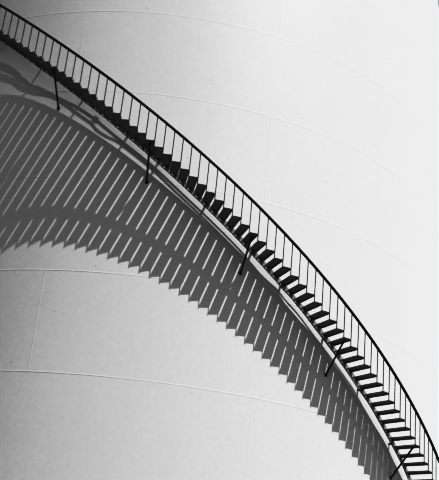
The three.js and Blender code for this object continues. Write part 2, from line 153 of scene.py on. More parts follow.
# Hatch and vent, whose cap has a crown of radius shares and drops from the top
HATCH = Sizes(
    radius=0.305, height=0.18, wall=0.008, foot=0.02, flange_width=0.035, flange_thickness=0.018,
    seal=0.002, cover_radius=0.37, cover_thickness=0.025, cover_sheet=0.006, skirt=0.03,
    distance=9.7, from_landing_end=2, hinge_places=(-0.06, 0.06), hinge_half_width=0.012,
    hinge_insets=(0.01, 0.02), hinge_drop=0.01, grip_place=0.2, grip_size=(0.007, 0.08, 0.008))
VENT = Sizes(
    radius=0.15, height=0.32, overlap=0.01, flange_height=0.09, flange_width=0.05,
    flange_thickness=0.03, throat_inset=0.02, cap_radius=0.26, cap_height=0.09, cap_sheet=0.004,
    cap_skirt=0.012, cap_crown=[(1, 0.07), (0.9, 0.045), (0.7, 0.022), (0.4, 0.006), (0, 0)],
    bolts=8, bolt_size=0.01, bolt_offset=0.028, first_bolt=0.2, steps=48)

# Heights and radii that follow from the sizes above
SHELL_BASE = BOTTOM_THICKNESS
SHELL_TOP = SHELL_BASE + COURSE_HEIGHT * len(COURSE_THICKNESS)
ROOF_APEX = SHELL_TOP + ROOF.thickness + (SHELL_RADIUS + ROOF.overhang) * ROOF.slope
LANDING_TOP = TREAD_0_TOP + RISE * (1 - HIGHEST_TREAD)
TREAD_OUTER = RAIL_RADIUS - ROD_RADIUS - SEAT_GAP
TREAD_TIP = RAIL_RADIUS + ROD_RADIUS
STRINGER_BACK = STRINGER.radius - STRINGER.thickness

# The camera's eye and aim, and the sun, found from the stair and its shadow in the photograph
EYE = Vector((0.0, -37.582, 1.745))
YAW, PITCH, ROLL = 0.067272, 0.416233, 0.097886
PHOTO_SIZE = (439, 480)
FOCAL_PIXELS = 997.16
SENSOR = 36.0
SUN_AZIMUTH = radians(49.92)
SUN_ELEVATION = radians(63.24)
SUN_SPREAD = radians(0.25)
SUN_STRENGTH = 5.0

# The sky's strength along each axis: where it changes from and to, with the strengths there
SKY_FILL = {"Z": (-0.05, 0.05, 0.2, 1.0), "X": (-1.0, 1.0, 0.58, 1.0), "Y": (0.2, 1.0, 1.0, 1.8)}
SEEN_SKY = 0.8
FLOOR_HALF_SIZE = 90.0

# How much light there is, and the tone that shows it, as on film
TONES = [
    (0, 0.0015), (0.1, 0.008), (0.18, 0.02), (0.29, 0.048), (0.385, 0.1), (0.5, 0.22), (0.62, 0.45),
    (0.77, 0.645), (0.96, 0.84), (1, 0.855)]


def around(radius, azimuth, height):
    """A point round the tank, with azimuth 0 towards the camera and growing to the right."""
    return Vector((radius * sin(azimuth), -radius * cos(azimuth), height))


def stair_azimuth(place):
    return TREAD_0_AZIMUTH + place * STEP_ANGLE


def tread_top(tread):
    return TREAD_0_TOP - RISE * tread


def stringer_low(place):
    return tread_top(place) - STRINGER.drop


def roof_top(radius):
    return ROOF_APEX - radius * ROOF.slope


def upright_frame(azimuth, radius, height):
    """A frame with X outwards from the tank, Y along the stair and Z up."""
    return Matrix.Rotation(azimuth - pi / 2, 4, "Z") @ Matrix.Translation((radius, 0, height))


OUTWARDS = Matrix.Rotation(pi / 2, 4, "Y")
MANWAY_FRAME = upright_frame(MANWAY.azimuth, SHELL_RADIUS, MANWAY.height) @ OUTWARDS


# Node helpers

def tree_of(*values):
    """The node tree that holds the sockets among the values."""
    return next(value.id_data for value in values if isinstance(value, bpy.types.NodeSocket))


def feed(socket, value):
    if isinstance(value, bpy.types.NodeSocket):
        tree_of(socket).links.new(value, socket)
    else:
        socket.default_value = value


def add_node(kind, tree=None, **values):
    """A new node. Names that start with a capital letter are inputs, and the others are settings."""
    node = (tree or tree_of(*values.values())).nodes.new(kind)
    for key in sorted(values, key=lambda name: name[0].isupper()):
        if key[0].isupper():
            feed(node.inputs[key.replace("_", " ")], values[key])
        else:
            setattr(node, key, values[key])
    return node


def made(kind, tree=None, **values):
    """The first output of a new node."""
    return add_node(kind, tree, **values).outputs[0]


def maths(operation, *values, kind="ShaderNodeMath"):
    node = add_node(kind, tree_of(*values), operation=operation)
    for socket, value in zip(node.inputs, values):
        feed(socket, value)
    return node.outputs[0]


def product(first, *others):
    for value in others:
        first = maths("MULTIPLY", first, value)
    return first


def scaled_place(place, size):
    return maths("DIVIDE", place, size, kind="ShaderNodeVectorMath")


def remap(value, low, high, new_low=0.0, new_high=1.0):
    return made(
        "ShaderNodeMapRange", Value=value, From_Min=low, From_Max=high, To_Min=new_low, To_Max=new_high)


def vector_of(x=0.0, y=0.0, z=0.0):
    return made("ShaderNodeCombineXYZ", X=x, Y=y, Z=z)


def parts_of(vector):
    return add_node("ShaderNodeSeparateXYZ", Vector=vector).outputs


def noise(place, detail, roughness=0.5):
    return made("ShaderNodeTexNoise", Vector=place, Scale=1.0, Detail=detail, Roughness=roughness)


def add_socket(tree, name, kind, way="INPUT"):
    return tree.interface.new_socket(name.replace("_", " "), in_out=way, socket_type="NodeSocket" + kind)


# Geometry node trees

def geometry_tree(name, **inputs):
    """A new tree and the outputs of its inputs, which are given with their kinds of socket."""
    tree = bpy.data.node_groups.new(name, "GeometryNodeTree")
    for key, kind in inputs.items():
        add_socket(tree, key, kind)
    add_socket(tree, "Geometry", "Geometry", "OUTPUT")
    return tree, tree.nodes.new("NodeGroupInput").outputs


def close_tree(tree, shape, paint, weld_distance=0.0):
    """Makes the copies real, welds corners that meet and paints the result."""
    real = made("GeometryNodeRealizeInstances", Geometry=shape)
    welded = made("GeometryNodeMergeByDistance", Geometry=real, Distance=weld_distance)
    painted = made("GeometryNodeSetMaterial", Geometry=welded, Material=paint)
    tree.links.new(painted, tree.nodes.new("NodeGroupOutput").inputs[0])
    return tree


def shape_of(given_object):
    return add_node("GeometryNodeObjectInfo", Object=given_object).outputs["Geometry"]


def circle(points, radius):
    return made("GeometryNodeCurvePrimitiveCircle", Resolution=points, Radius=radius, mode="RADIUS")


def put_copies(points, given_template, turn):
    """Copies of a template at points, each turned about Z."""
    return made(
        "GeometryNodeInstanceOnPoints", Points=points, Instance=shape_of(given_template),
        Rotation=vector_of(z=turn))


def stair_copies_tree():
    """Copies of a template made at place 0, one for each spot, whose X is its place on the stair."""
    tree, given = geometry_tree(
        "Stair copies", Template="Object", Places="Object", Step_Angle="Float", Rise="Float",
        Weld_Distance="Float", Paint="Material")
    held = tree.nodes.new("GeometryNodeCaptureAttribute")
    held.capture_items.new("FLOAT", "Place")
    feed(held.inputs[0], shape_of(given["Places"]))
    feed(held.inputs[1], parts_of(made("GeometryNodeInputPosition", tree))["X"])
    spots, place = held.outputs[0], held.outputs[1]
    down = vector_of(z=product(place, given["Rise"], -1.0))
    set_down = made("GeometryNodeSetPosition", Geometry=spots, Position=down)
    copies = put_copies(set_down, given["Template"], product(place, given["Step Angle"]))
    return close_tree(tree, copies, given["Paint"], given["Weld Distance"])


def ring_of_copies_tree():
    """Copies of a template spaced evenly about its Z axis."""
    tree, given = geometry_tree(
        "Ring of copies", Template="Object", Count="Int", First_Angle="Float", Paint="Material")
    line = made("GeometryNodeMeshLine", Count=given["Count"], Offset=(0.0, 0.0, 0.0))
    step = maths("DIVIDE", 2 * pi, given["Count"])
    turned_by = product(made("GeometryNodeInputIndex", tree), step)
    angle = maths("ADD", given["First Angle"], turned_by)
    return close_tree(tree, put_copies(line, given["Template"], angle), given["Paint"])


def tube_tree():
    """A round bar along the edges of a path, with closed ends."""
    tree, given = geometry_tree(
        "Tube", Path="Object", Radius="Float", Sides="Int", Spacing="Float", Paint="Material")
    curve = made("GeometryNodeMeshToCurve", Mesh=shape_of(given["Path"]))
    bent = made("GeometryNodeCurveSplineType", Curve=curve, spline_type="CATMULL_ROM")
    even = made("GeometryNodeResampleCurve", Curve=bent, Length=given["Spacing"], mode="LENGTH")
    outline = circle(given["Sides"], given["Radius"])
    solid = made("GeometryNodeCurveToMesh", Curve=even, Profile_Curve=outline, Fill_Caps=True)
    return close_tree(tree, solid, given["Paint"])


def weld_ring_tree():
    """A rounded weld bead round the shell, a little uneven along its length."""
    tree, given = geometry_tree(
        "Weld ring", Radius="Float", Height="Float", Points="Int", Width="Float", Rise="Float",
        Seed="Float", Paint="Material")
    ring = circle(given["Points"], given["Radius"])
    raised = made("GeometryNodeTransform", Geometry=ring, Translation=vector_of(z=given["Height"]))
    where = made("GeometryNodeInputPosition", tree)
    rough = made(
        "ShaderNodeTexNoise", Vector=where, W=given["Seed"], Scale=9.0, Detail=2.0,
        noise_dimensions="4D")
    size = remap(rough, 0.3, 0.7, 0.8, 1.2)
    uneven = made("GeometryNodeSetCurveRadius", Curve=raised, Radius=size)
    bead = circle(8, product(given["Width"], 0.5))
    share = maths("DIVIDE", product(given["Rise"], 2.0), given["Width"])
    flat = made("GeometryNodeTransform", Geometry=bead, Scale=vector_of(share, 1.0, 1.0))
    solid = made("GeometryNodeCurveToMesh", Curve=uneven, Profile_Curve=flat)
    return close_tree(tree, solid, given["Paint"])


TUBE_TREE, STAIR_COPIES_TREE, RING_TREE = tube_tree(), stair_copies_tree(), ring_of_copies_tree()
WELD_TREE = weld_ring_tree()


# Objects and plain meshes

# Those that are only used by a geometry tree, removed at the end
templates = []


def new_object(name, data):
    obj = bpy.data.objects.new(name, data)
    bpy.context.scene.collection.objects.link(obj)
    return obj


def template(mesh):
    templates.append(new_object("template", mesh))
    return templates[-1]


def grow(tree, **values):
    """Runs a geometry tree and returns what it makes as a plain mesh."""
    obj = new_object(tree.name, bpy.data.meshes.new(tree.name))
    modifier = obj.modifiers.new("Shape", "NODES")
    modifier.node_group = tree
    for item in tree.interface.items_tree:
        if item.in_out == "INPUT":
            modifier[item.identifier] = values[item.name.replace(" ", "_")]
    graph = bpy.context.evaluated_depsgraph_get()
    mesh = bpy.data.meshes.new_from_object(obj.evaluated_get(graph))
    obj.modifiers.remove(modifier)
    bpy.data.objects.remove(obj)
    return mesh


def mesh_of(points, faces=(), edges=()):
    mesh = bpy.data.meshes.new("part")
    mesh.from_pydata([tuple(point) for point in points], edges, faces)
    mesh.update()
    return mesh


@contextmanager
def edited(mesh):
    """The mesh as a bmesh, which is written back afterwards."""
    shape = bmesh.new()
    shape.from_mesh(mesh)
    yield shape
    shape.to_mesh(mesh)
    shape.free()


def tidy_faces(mesh):
    """Merges doubles, closes open ends and points the faces outwards."""
    with edited(mesh) as shape:
        bmesh.ops.remove_doubles(shape, verts=shape.verts, dist=MERGE_DISTANCE)
        open_edges = [edge for edge in shape.edges if edge.is_boundary]
        if open_edges:
            bmesh.ops.holes_fill(shape, edges=open_edges, sides=0)
        bmesh.ops.recalc_face_normals(shape, faces=shape.faces)
    return mesh


def cut_at_ground(mesh):
    with edited(mesh) as shape:
        everything = shape.verts[:] + shape.edges[:] + shape.faces[:]
        bmesh.ops.bisect_plane(
            shape, geom=everything, plane_co=(0, 0, GROUND_CUT), plane_no=(0, 0, 1), clear_inner=True)
    return tidy_faces(mesh)


def smooth_where_round(mesh, degrees):
    limit = radians(degrees)
    with edited(mesh) as shape:
        for face in shape.faces:
            face.smooth = True
        for edge in shape.edges:
            edge.smooth = len(edge.link_faces) == 2 and edge.calc_face_angle(pi) < limit


def moved(mesh, matrix):
    mesh.transform(matrix)
    return mesh


def on_stair(mesh, place, height=0, radius=0):
    """A mesh set upright at a place on the stair."""
    return moved(mesh, upright_frame(stair_azimuth(place), radius, height))


def joined(meshes):
    whole = bpy.data.meshes.new("joined")
    with edited(whole) as shape:
        for mesh in meshes:
            shape.from_mesh(mesh)
            bpy.data.meshes.remove(mesh)
    return whole


def piece(name, painted, slot, *nodes, smooth=32):
    """One finished object, made from lists of meshes under the paint that they have."""
    whole = bpy.data.meshes.new(name)
    with edited(whole) as shape:
        for number, (paint, meshes) in enumerate(painted.items()):
            start = len(shape.faces)
            shape.from_mesh(joined(meshes))
            shape.faces.ensure_lookup_table()
            for face in shape.faces[start:]:
                face.material_index = number
            whole.materials.append(paint)
    smooth_where_round(whole, smooth)
    obj = new_object(name, whole)
    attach(obj, "root")
    if nodes:
        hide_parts(*nodes)


def band(here, there, count):
    """Faces between two rings of corners, given the first corner of each."""
    return [(here + i, here + (i + 1) % count, there + (i + 1) % count, there + i) for i in range(count)]


def loft(sections, ring=False):
    """A bar through a row of sections that all have the same number of corners."""
    corners = len(sections[0])
    faces = []
    for s in range(len(sections) - (0 if ring else 1)):
        faces += band(s * corners, (s + 1) % len(sections) * corners, corners)
    if not ring:
        faces.append(tuple(reversed(range(corners))))
        faces.append(tuple(range((len(sections) - 1) * corners, len(sections) * corners)))
    return tidy_faces(mesh_of([point for section in sections for point in section], faces))


def turned(profile, steps=ROUND_STEPS):
    """A closed profile of (radius, height) corners turned about the Z axis."""
    sections = []
    for step in range(steps):
        azimuth = step * 2 * pi / steps
        sections.append([around(max(radius, LEAST_RADIUS), azimuth, height) for radius, height in profile])
    return loft(sections, ring=True)


def upright_prism(outline, low, high):
    return loft([[(x, y, z) for x, y in outline] for z in (low, high)])


def box_mesh(low, high):
    (a, b, c), (d, e, f) = low, high
    return loft([[(x, b, c), (x, e, c), (x, e, f), (x, b, f)] for x in (a, d)])


def regular_outline(radius, sides):
    turns = [2 * pi * i / sides for i in range(sides)]
    return [(radius * cos(turn), radius * sin(turn)) for turn in turns]


def hex_bolt(radius, height):
    """A bolt head on a washer, along +Z."""
    washer_top = height * 0.25
    washer = upright_prism(regular_outline(radius * 1.7, 10), 0.0, washer_top)
    head = upright_prism(regular_outline(radius, 6), washer_top, height * 1.2)
    return joined([washer, head])


def copies_round(mesh, count, first_angle, paint):
    """Copies of a mesh spaced evenly about the Z axis."""
    return grow(RING_TREE, Template=template(mesh), Count=count, First_Angle=first_angle, Paint=paint)


def bolt_ring(bolt, count, first_angle, distance, height):
    bolt.transform(Matrix.Translation((0, -distance, height)))
    return copies_round(bolt, count, first_angle, FITTING_PAINT)


def tube(points, radius, sides, paint, spacing=0.12):
    edges = [(i, i + 1) for i in range(len(points) - 1)]
    path = template(mesh_of(points, edges=edges))
    return tidy_faces(grow(TUBE_TREE, Path=path, Radius=radius, Sides=sides, Spacing=spacing, Paint=paint))


def down_stair(shape, places, paint):
    """Copies of a template at some places of the stair."""
    spots = template(mesh_of([(place, 0, 0) for place in places]))
    return grow(
        STAIR_COPIES_TREE, Template=shape, Places=spots, Step_Angle=STEP_ANGLE, Rise=RISE,
        Weld_Distance=0.0005, Paint=paint)


# Shader node groups

def shader_group(name, outputs, **inputs):
    """A new group, whose inputs are vectors where no value is given for them."""
    tree = bpy.data.node_groups.new(name, "ShaderNodeTree")
    for key, value in inputs.items():
        socket = add_socket(tree, key, "Vector" if value is None else "Float")
        if value is not None:
            socket.default_value = value
    for label in outputs:
        add_socket(tree, label, "Float", "OUTPUT")
    return tree, tree.nodes.new("NodeGroupInput").outputs, tree.nodes.new("NodeGroupOutput").inputs


def mottle_group():
    """Broad uneven tone, from 1 - Strength to 1 + Strength."""
    tree, given, out = shader_group("Mottle", ["Tone"], Place=None, Patch_Size=1.0, Strength=0.03)
    patches = noise(scaled_place(given["Place"], given["Patch Size"]), 5.0, 0.6)
    centred = remap(patches, 0.3, 0.7, -1.0, 1.0)
    feed(out["Tone"], maths("ADD", product(centred, given["Strength"]), 1.0))
    return tree


def streaks_group():
    """Narrow marks that run down the surface, as a mask from 0 to 1."""
    tree, given, out = shader_group(
        "Rain streaks", ["Mask"], Place=None, Width=0.12, Length=3.0, Coverage=0.4)
    parts = parts_of(given["Place"])
    sizes = {"X": given["Width"], "Y": given["Width"], "Z": given["Length"]}
    place = vector_of(*[maths("DIVIDE", parts[axis], size) for axis, size in sizes.items()])
    edge = maths("SUBTRACT", 0.75, product(given["Coverage"], 0.4))
    feed(out["Mask"], remap(noise(place, 3.0, 0.55), edge, maths("ADD", edge, 0.2)))
    return tree


def specks_group():
    """Small scattered marks, as a mask from 0 to 1."""
    tree, given, out = shader_group("Specks", ["Mask"], Place=None, Spacing=0.6, Size=0.02, Share=0.3)
    place = scaled_place(given["Place"], given["Spacing"])
    cells = add_node("ShaderNodeTexVoronoi", Vector=place, Scale=1.0).outputs
    reach = maths("DIVIDE", given["Size"], given["Spacing"])
    near = maths("LESS_THAN", cells["Distance"], reach)
    pick = made("ShaderNodeSeparateColor", Color=cells["Color"])
    feed(out["Mask"], product(near, maths("LESS_THAN", pick, given["Share"])))
    return tree


def seam_highlight_and_shadow_group():
    """Painted highlight just above the level weld seams between the courses, and painted shadow just below
    them.
    """
    tree, given, out = shader_group(
        "Level seams", ["Above", "Below"], Place=None, Base=0.0, Spacing=3.0, Width=0.04)
    from_base = maths("SUBTRACT", parts_of(given["Place"])["Z"], given["Base"])
    half = product(given["Spacing"], 0.5)
    from_seam = maths("WRAP", from_base, half, product(half, -1.0))
    for label, sign in (("Above", 1.0), ("Below", -1.0)):
        side = product(from_seam, sign)
        fade = maths("SUBTRACT", 1.0, maths("DIVIDE", side, given["Width"]))
        there = maths("GREATER_THAN", side, 0.0)
        feed(out[label], product(there, maths("MAXIMUM", fade, 0.0)))
    return tree


def grain_group():
    """Height of a rolled and sprayed finish, in metres."""
    tree, given, out = shader_group(
        "Paint grain", ["Height"], Place=None, Grain=0.004, Wave=0.6, Grain_Height=0.0001,
        Wave_Height=0.002)
    heights = []
    for size in ("Grain", "Wave"):
        relief = noise(scaled_place(given["Place"], given[size]), 2.0)
        heights.append(product(relief, given[size + " Height"]))
    feed(out["Height"], maths("ADD", *heights))
    return tree


def settled_grime_and_top_shade_group():
    """Tone darker where the surface faces up: settled grime, and painted shade that tones down the sunlit
    tops.
    """
    tree, given, out = shader_group("Settled dirt", ["Tone"], Facing=None, Depth=0.4)
    up = remap(parts_of(given["Facing"])["Z"], 0.3, 0.9)
    feed(out["Tone"], maths("SUBTRACT", 1.0, product(up, given["Depth"])))
    return tree


MOTTLE, STREAKS, SPECKS = mottle_group(), streaks_group(), specks_group()
SEAM_HIGHLIGHT_AND_SHADOW, GRAIN, SETTLED_GRIME_AND_TOP_SHADE = seam_highlight_and_shadow_group(), grain_group(), settled_grime_and_top_shade_group()


# Paints

def start_material(name):
    """A new material and a function that adds an effect to it."""
    material = bpy.data.materials.new(name)
    material.use_nodes = True
    tree = material.node_tree
    given = tree.nodes.new("ShaderNodeTexCoord").outputs
    sources = {"Place": given["Object"], "Facing": given["Normal"]}

    def effect(group, **values):
        node = add_node("ShaderNodeGroup", tree, node_tree=group)
        feed(node.inputs[0], sources[node.inputs[0].name])
        for key, value in values.items():
            node.inputs[key.replace("_", " ").title()].default_value = value
        return node.outputs

    return material, effect


def grey(level):
    return (level, level, level, 1.0)


def mix_grey(factor, level, other_level):
    node = add_node("ShaderNodeMix", tree_of(factor), data_type="RGBA")
    for number, value in ((0, factor), (6, grey(level)), (7, grey(other_level))):
        feed(node.inputs[number], value)
    return node.outputs[2]


def marked(tone, marks):
    """The tone under marks, which are masks with how much each darkens."""
    for mask, depth in marks:
        tone = product(tone, remap(mask, 0.0, 1.0, 1.0, 1.0 - depth))
    return tone


def finish_surface(material, colour, tone, roughness, height, bump):
    """The material, its surface fed with a colour times a tone, a roughness and a relief."""
    surface = material.node_tree.nodes["Principled BSDF"].inputs
    feed(surface["Base Color"], made("ShaderNodeVectorMath", Vector=colour, Scale=tone, operation="SCALE"))
    feed(surface["Roughness"], roughness)
    relief = made("ShaderNodeBump", Height=height, Strength=bump, Distance=1.0)
    feed(surface["Normal"], relief)
    return material


def shell_paint():
    material, effect = start_material("shell paint")
    broad = effect(MOTTLE, patch_size=2.5, strength=0.012)["Tone"]
    fine = effect(MOTTLE, patch_size=0.12, strength=0.02)["Tone"]
    streaks = effect(STREAKS, width=0.1, length=4.0, coverage=0.3)["Mask"]
    specks = effect(SPECKS, spacing=0.45, size=0.02, share=0.35)["Mask"]
    # Each seam gets a painted highlight just above it and a painted shadow just below it
    seams = effect(SEAM_HIGHLIGHT_AND_SHADOW, base=SHELL_BASE, spacing=COURSE_HEIGHT, width=0.04)
    # Darker where faces point up: settled grime, and painted shade on the sunlit tops
    grime_and_top_shade = effect(SETTLED_GRIME_AND_TOP_SHADE, depth=0.35)["Tone"]
    tone = marked(product(broad, fine, grime_and_top_shade), [
        (streaks, 0.03), (specks, 0.35), (seams["Above"], -0.05), (seams["Below"], 0.04)])
    roughness = remap(fine, 0.98, 1.02, 0.5, 0.6)
    height = effect(GRAIN, grain=0.005, wave=0.9, wave_height=0.004)["Height"]
    return finish_surface(material, grey(0.76)[:3], tone, roughness, height, 0.5)


def roof_paint():
    material, effect = start_material("roof paint")
    broad = effect(MOTTLE, patch_size=1.8, strength=0.12)["Tone"]
    fine = effect(MOTTLE, patch_size=0.1, strength=0.05)["Tone"]
    specks = effect(SPECKS, spacing=0.7, size=0.03, share=0.3)["Mask"]
    tone = marked(product(broad, fine), [(specks, 0.3)])
    roughness = remap(broad, 0.9, 1.1, 0.7, 0.55)
    height = effect(GRAIN, wave=1.2, wave_height=0.006)["Height"]
    return finish_surface(material, grey(0.34)[:3], tone, roughness, height, 0.5)


def steel_paint(name, level, worn_level, roughness, share, dirt_depth):
    """A painted steel finish with small chips, runs and settled grime, and painted shade on faces that point
    up.
    """
    material, effect = start_material(name)
    broad = effect(MOTTLE, patch_size=0.4, strength=0.12)["Tone"]
    fine = effect(MOTTLE, patch_size=0.02, strength=0.06)["Tone"]
    streaks = effect(STREAKS, width=0.03, length=0.3, coverage=0.5)["Mask"]
    chips = effect(SPECKS, spacing=0.06, size=0.006, share=share)["Mask"]
    # Darker where faces point up: settled grime, and painted shade on the sunlit tops
    grime_and_top_shade = effect(SETTLED_GRIME_AND_TOP_SHADE, depth=dirt_depth)["Tone"]
    tone = marked(product(broad, fine, grime_and_top_shade), [(streaks, 0.15)])
    rough = remap(broad, 0.9, 1.1, roughness - 0.06, roughness + 0.08)
    height = effect(GRAIN, grain=0.003, wave=0.05, grain_height=0.0002, wave_height=0.0004)["Height"]
    return finish_surface(material, mix_grey(chips, level, worn_level), tone, rough, height, 0.6)


SHELL_PAINT, ROOF_PAINT = shell_paint(), roof_paint()
BOTTOM_STEEL = steel_paint("bottom steel", 0.3, 0.16, 0.6, 0.3, 0.2)
FITTING_PAINT = steel_paint("fitting paint", 0.5, 0.25, 0.5, 0.15, 0.4)
STAIR_PAINT = steel_paint("stair paint", 0.45, 0.28, 0.6, 0.2, 0.6)
STRINGER_PAINT = steel_paint("stringer paint", 0.42, 0.26, 0.55, 0.2, 0.3)
RAIL_PAINT = steel_paint("rail paint", 0.05, 0.08, 0.55, 0.2, 0.1)


# Shell, bottom, curb and roof

def make_shell():
    half, crest, shoulder = BEAD_WIDTH / 2, BEAD_WIDTH / 2 * BEAD_CREST_SHARE, BEAD_HEIGHT * 0.8
    bar = [(-half, -SINK), (half, -SINK), (crest, shoulder), (0, BEAD_HEIGHT), (-crest, shoulder)]
    bead_outline = [(side, -(SHELL_RADIUS + out)) for side, out in bar]
    for number, thickness in enumerate(COURSE_THICKNESS):
        low = SHELL_BASE + COURSE_HEIGHT * number
        high = low + COURSE_HEIGHT
        inner = SHELL_RADIUS - thickness
        wall = turned([(inner, low), (SHELL_RADIUS, low), (SHELL_RADIUS, high), (inner, high)])
        bead, turn = upright_prism(bead_outline, low, high), radians(FIRST_SEAM_DEGREES[number])
        parts = [wall, copies_round(bead, PLATES_PER_COURSE, turn, SHELL_PAINT)]
        if number < len(COURSE_THICKNESS) - 1:
            parts.append(grow(
                WELD_TREE, Radius=SHELL_RADIUS, Height=high, Points=2 * ROUND_STEPS, Width=BEAD_WIDTH,
                Rise=BEAD_HEIGHT, Seed=float(number), Paint=SHELL_PAINT))
        name = f"shell_course_{number + 1:02d}"
        piece(name + "_plates", {SHELL_PAINT: parts}, "shell_paint", name)


def make_bottom():
    edge, bevel = SHELL_RADIUS + BOTTOM_LIP, BOTTOM_BEVEL
    bottom = turned([
        (0, 0), (edge - bevel, 0), (edge, bevel), (edge, BOTTOM_THICKNESS - bevel),
        (edge - bevel, BOTTOM_THICKNESS), (0, BOTTOM_THICKNESS)])
    low, wall = SHELL_BASE - SINK / 2, SHELL_RADIUS - SINK / 2
    fillet = turned([
        (wall, low), (SHELL_RADIUS + FILLET_SIZE, low),
        (SHELL_RADIUS + FILLET_SIZE * 0.4, SHELL_BASE + FILLET_SIZE * 0.45),
        (wall, SHELL_BASE + FILLET_SIZE)])
    piece("bottom_plate_edge", {BOTTOM_STEEL: [bottom, fillet]}, "bottom_steel", "bottom_plate")


def make_curb():
    inner, wall, outer = SHELL_RADIUS - SINK, SHELL_RADIUS + CURB_THICKNESS, SHELL_RADIUS + CURB_LEG
    foot, shelf = SHELL_TOP - CURB_LEG, SHELL_TOP - CURB_THICKNESS
    curb = turned([
        (inner, foot), (wall, foot), (wall, shelf - CURB_THICKNESS), (wall + CURB_THICKNESS, shelf),
        (outer, shelf), (outer, SHELL_TOP), (inner, SHELL_TOP)])
    piece("curb_angle_ring", {SHELL_PAINT: [curb]}, "shell_paint", "curb_angle", smooth=28)


def make_roof():
    eave, seat = SHELL_RADIUS + ROOF.overhang, SHELL_RADIUS - 2 * ROOF.thickness
    cone = turned([
        (0, ROOF_APEX - ROOF.thickness), (seat, SHELL_TOP), (eave, SHELL_TOP),
        (eave, SHELL_TOP + ROOF.thickness), (0, ROOF_APEX)])
    half, crest = BEAD_WIDTH / 2, BEAD_WIDTH / 2 * BEAD_CREST_SHARE
    bar = [(-half, -SINK), (half, -SINK), (crest, BEAD_HEIGHT), (-crest, BEAD_HEIGHT)]
    seam = loft([
        [(side, -radius, roof_top(radius) + rise) for side, rise in bar]
        for radius in (VENT.radius, eave - ROOF.seam_inset)])
    seams = copies_round(seam, ROOF.sectors, ROOF.seam_turn, ROOF_PAINT)
    laps = []
    for low in ROOF.lap_rings:
        high = low - ROOF.lap_width
        laps.append(turned([
            (high, roof_top(high) - SINK), (low, roof_top(low) - SINK),
            (low, roof_top(low) + ROOF.lap_height), (high, roof_top(high) + ROOF.lap_height / 3)]))
    piece("roof_plate_cone", {ROOF_PAINT: [cone, seams, *laps]}, "roof_paint", "roof_plate", smooth=20)


# Fittings

def make_vent():
    low, top = roof_top(VENT.radius) - VENT.overlap, ROOF_APEX + VENT.height
    lip = top - VENT.cap_height
    flange = ROOF_APEX + VENT.flange_height
    flange_top, throat_top = flange + VENT.flange_thickness, lip + VENT.overlap
    edge, throat = VENT.radius + VENT.flange_width, VENT.radius - VENT.throat_inset
    body = turned([
        (0, low), (VENT.radius, low), (VENT.radius, flange), (edge, flange), (edge, flange_top),
        (throat, flange_top), (throat, throat_top), (0, throat_top)], VENT.steps)
    rim = VENT.cap_radius - VENT.cap_sheet
    crown = [(VENT.cap_radius * share, top - drop) for share, drop in VENT.cap_crown]
    cap = turned([
        (0, lip + VENT.cap_sheet), (rim, lip + VENT.cap_sheet), (rim, lip - VENT.cap_skirt),
        (VENT.cap_radius, lip - VENT.cap_skirt), *crown], VENT.steps)
    bolts = bolt_ring(
        hex_bolt(VENT.bolt_size, VENT.bolt_size), VENT.bolts, VENT.first_bolt,
        VENT.radius + VENT.bolt_offset, flange_top)
    piece("roof_vent_cap", {FITTING_PAINT: [body, cap, bolts]}, "fitting_paint", "roof_vent")


def make_hatch():
    """A round hatch, built about its own Z axis on the roof's slope."""
    inner, flange = HATCH.radius - HATCH.wall, HATCH.radius + HATCH.flange_width
    foot = -(HATCH.radius * ROOF.slope + HATCH.foot)
    flange_top = HATCH.height - HATCH.seal
    flange_low = flange_top - HATCH.flange_thickness
    drum = turned([
        (inner, foot), (HATCH.radius, foot), (HATCH.radius, flange_low), (flange, flange_low),
        (flange, flange_top), (inner, flange_top)], FITTING_STEPS)
    top, sheet, edge = HATCH.height + HATCH.cover_thickness, HATCH.cover_sheet, HATCH.cover_radius
    skirt = HATCH.height - HATCH.skirt
    cover = turned([
        (0, HATCH.height), (edge - sheet, HATCH.height), (edge - sheet, skirt), (edge, skirt),
        (edge, top - 2 * sheet), (edge - 2 * sheet, top - sheet), (0, top - sheet / 3)], FITTING_STEPS)
    back, front = HATCH.hinge_insets
    hinges = []
    for side in HATCH.hinge_places:
        hinges.append(box_mesh(
            (-edge + back, side - HATCH.hinge_half_width, skirt - HATCH.hinge_drop),
            (-HATCH.radius + front, side + HATCH.hinge_half_width, top)))
    x, y, depth = HATCH.grip_size
    grip = box_mesh((HATCH.grip_place - x, -y, top - depth), (HATCH.grip_place + x, y, top))
    place = HIGHEST_TREAD - LANDING.length + HATCH.from_landing_end
    whole = joined([drum, cover, *hinges, grip])
    whole = on_stair(whole, place, roof_top(HATCH.distance), HATCH.distance)
    piece("roof_hatch_cover", {FITTING_PAINT: [whole]}, "fitting_paint", "roof_hatch")


def make_manway_neck():
    inner, reach, edge = MANWAY.radius - MANWAY.wall, MANWAY.reach, MANWAY.flange_radius
    back = reach - MANWAY.flange_thickness
    neck = turned([
        (inner, -MANWAY.reach_inside), (MANWAY.radius, -MANWAY.reach_inside),
        (MANWAY.radius, back - MANWAY.weld), (MANWAY.radius + MANWAY.weld, back), (edge, back),
        (edge, reach), (inner, reach)], FITTING_STEPS)
    bevel, bevel_height = MANWAY.pad_bevel
    profile = [
        (MANWAY.radius, 0.0), (MANWAY.radius, MANWAY.pad_thickness),
        (MANWAY.pad_radius - bevel, MANWAY.pad_thickness),
        (MANWAY.pad_radius, MANWAY.pad_thickness - bevel_height), (MANWAY.pad_radius, 0.0)]
    rings = []
    for radius, out in profile:
        rings.append([
            around(SHELL_RADIUS + out, MANWAY.azimuth + side / SHELL_RADIUS, MANWAY.height + up)
            for up, side in regular_outline(radius, FITTING_STEPS)])
    parts = [moved(neck, MANWAY_FRAME), loft(rings, ring=True)]
    piece("manway_neck_and_pad", {FITTING_PAINT: parts}, "fitting_paint", "manway_neck")


